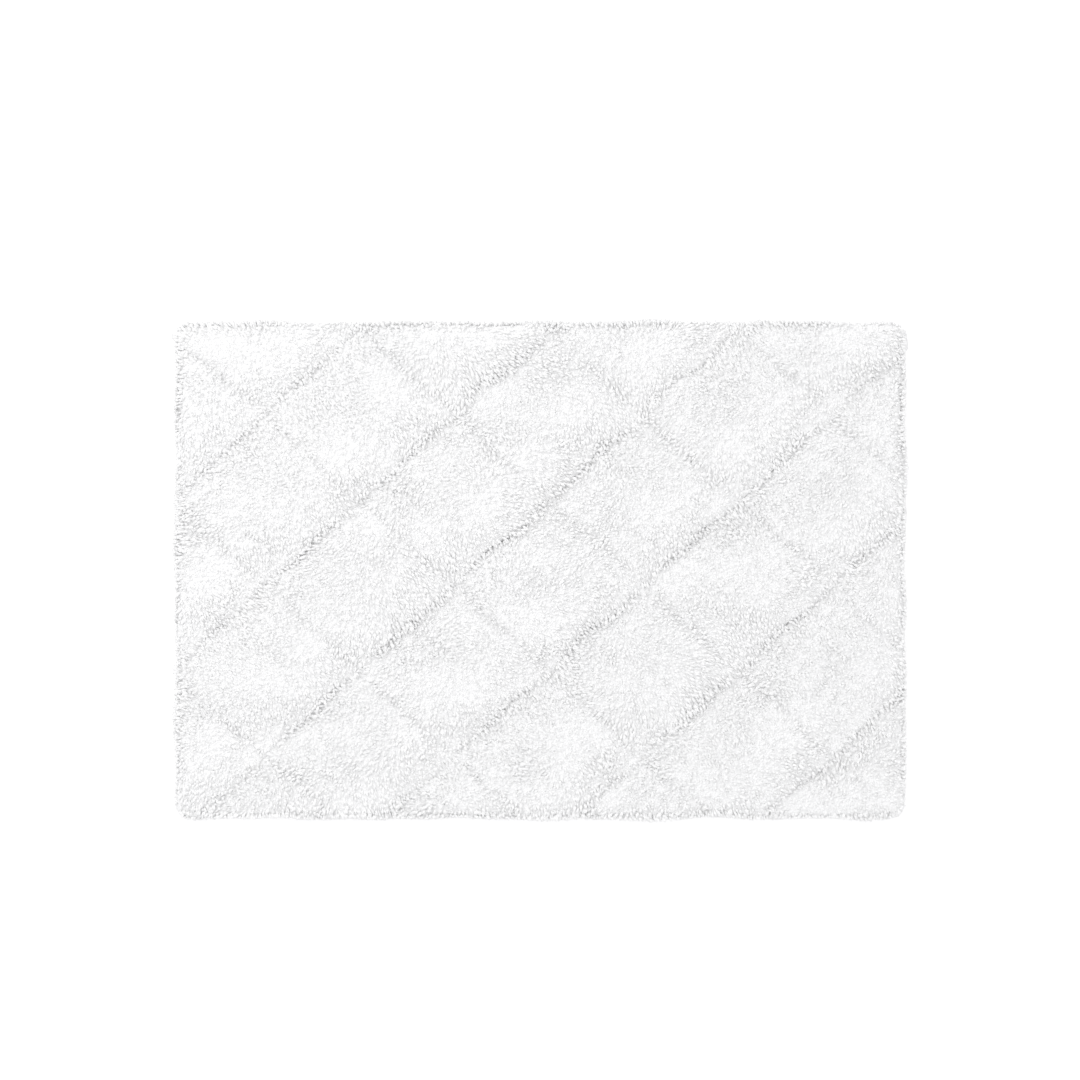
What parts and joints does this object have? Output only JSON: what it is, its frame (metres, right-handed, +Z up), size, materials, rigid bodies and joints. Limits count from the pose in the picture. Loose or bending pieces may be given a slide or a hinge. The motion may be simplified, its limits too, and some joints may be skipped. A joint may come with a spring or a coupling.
{
  "type": "bath mat",
  "caption": "Rectangular tufted cotton bath mat with a thick white shag pile sculpted into diamonds, and a non-slip latex back with a taped hem.",
  "frame": {"origin": "on the floor under the middle of the mat", "axes": "+X along the mat's length, +Y along its depth towards the back edge, +Z up through the pile"},
  "size_m": [0.75, 0.51, 0.017],
  "materials": {
    "cotton_pile": "soft cut pile of twisted cotton yarn, matt",
    "backing_cloth": "plain-woven cloth, matt",
    "latex": "foamed latex, matt, ribbed by the tufting rows",
    "hem_tape": "herringbone twill tape, matt",
    "thread": "spun sewing thread, slight sheen",
    "label": "satin weave, slight sheen"
  },
  "bodies": {
    "root": {"latex_coat": "latex", "backing_cloth": "backing_cloth", "hem_tape_front": "hem_tape", "hem_tape_back": "hem_tape", "hem_tape_left": "hem_tape", "hem_tape_right": "hem_tape", "hem_stitching_outer": "thread", "hem_stitching_inner": "thread", "care_label": "label", "pile_r1_c1": "cotton_pile", "pile_r1_c2": "cotton_pile", "pile_r1_c3": "cotton_pile", "pile_r1_c4": "cotton_pile", "pile_r2_c1": "cotton_pile", "pile_r2_c2": "cotton_pile", "pile_r2_c3": "cotton_pile", "pile_r2_c4": "cotton_pile", "pile_r2_c5": "cotton_pile", "pile_r3_c1": "cotton_pile", "pile_r3_c2": "cotton_pile", "pile_r3_c3": "cotton_pile", "pile_r3_c4": "cotton_pile", "pile_r4_c1": "cotton_pile", "pile_r4_c2": "cotton_pile", "pile_r4_c3": "cotton_pile", "pile_r4_c4": "cotton_pile", "pile_r4_c5": "cotton_pile", "pile_r5_c1": "cotton_pile", "pile_r5_c2": "cotton_pile", "pile_r5_c3": "cotton_pile", "pile_r5_c4": "cotton_pile", "pile_r6_c1": "cotton_pile", "pile_r6_c2": "cotton_pile", "pile_r6_c3": "cotton_pile", "pile_r6_c4": "cotton_pile", "pile_r6_c5": "cotton_pile", "pile_r7_c1": "cotton_pile", "pile_r7_c2": "cotton_pile", "pile_r7_c3": "cotton_pile", "pile_r7_c4": "cotton_pile"}
  },
  "joints": []
}
